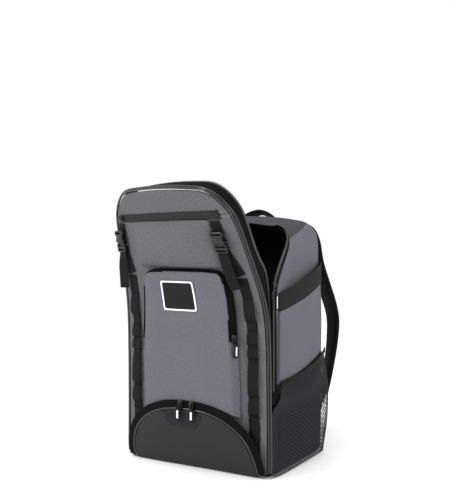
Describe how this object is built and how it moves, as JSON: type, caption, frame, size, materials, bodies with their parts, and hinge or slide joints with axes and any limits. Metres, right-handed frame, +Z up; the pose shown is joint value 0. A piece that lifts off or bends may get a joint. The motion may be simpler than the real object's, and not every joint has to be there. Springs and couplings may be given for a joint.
{
  "type": "baseball bat backpack",
  "caption": "Upright sports backpack with a half-open front panel, moulded front pocket, dome floor pocket, side sleeves, mesh pockets and padded shoulder straps.",
  "frame": {"origin": "centre of the base panel's underside, on the surface that the bag stands on", "axes": "+Z up; -Y to the front panel; +Y to the wearer's back; +X to the right for someone who looks at the front"},
  "size_m": [0.345, 0.5086, 0.5167],
  "materials": {
    "light_cloth": "light purple-grey woven polyester, matt",
    "warm_cloth": "warm dark-grey woven polyester, matt",
    "coated_cloth": "black coated cloth, satin",
    "zip_tape": "black woven zip tape",
    "webbing": "black ribbed webbing",
    "elastic": "black stretch band",
    "netting": "black open mesh",
    "pad_mesh": "black spacer mesh over foam",
    "piping": "glossy black piping",
    "black_plastic": "black moulded acetal, satin",
    "slider_metal": "black painted zinc",
    "pull_cord": "black moulded pull with a pale bar",
    "badge_field": "black flat field, bare",
    "badge_frame": "white raised rubber frame"
  },
  "bodies": {
    "root": {"anchor_strap_left": "webbing", "anchor_strap_right": "webbing", "back_pad": "pad_mesh", "badge_field": "badge_field", "badge_frame": "badge_frame", "base_panel": "coated_cloth", "buckle_plug_left": "black_plastic", "buckle_plug_right": "black_plastic", "buckle_socket_left": "black_plastic", "buckle_socket_right": "black_plastic", "daisy_chain_left": "webbing", "daisy_chain_right": "webbing", "front_panel": "warm_cloth", "front_pocket": "light_cloth", "front_zip_tape": "zip_tape", "haul_loop": "webbing", "ladder_lock_left": "black_plastic", "ladder_lock_right": "black_plastic", "lower_left_pull": "pull_cord", "lower_left_slider": "slider_metal", "lower_piping": "piping", "lower_pocket": "coated_cloth", "lower_right_pull": "pull_cord", "lower_right_slider": "slider_metal", "lower_strap_left": "webbing", "lower_strap_right": "webbing", "lower_zip_tape": "zip_tape", "main_left_pull": "pull_cord", "main_left_slider": "slider_metal", "main_piping": "piping", "main_right_pull": "pull_cord", "main_right_slider": "slider_metal", "mesh_binding_left": "webbing", "mesh_binding_right": "webbing", "mesh_pocket_left": "netting", "mesh_pocket_right": "netting", "pocket_left_pull": "pull_cord", "pocket_left_slider": "slider_metal", "pocket_right_pull": "pull_cord", "pocket_right_slider": "slider_metal", "pocket_zip_left": "zip_tape", "pocket_zip_right": "zip_tape", "rear_body": "light_cloth", "rear_zip_tape": "zip_tape", "shoulder_strap_left": "pad_mesh", "shoulder_strap_right": "pad_mesh", "side_sleeve_left": "light_cloth", "side_sleeve_right": "light_cloth", "sleeve_band_left": "elastic", "sleeve_band_right": "elastic", "tail_strap_left": "webbing", "tail_strap_right": "webbing", "top_slider": "slider_metal", "top_zip_flap": "zip_tape", "upper_panel": "warm_cloth", "upper_strap_left": "webbing", "upper_strap_right": "webbing", "vent_patch": "netting", "zip_end_left": "zip_tape", "zip_end_right": "zip_tape"}
  },
  "joints": []
}
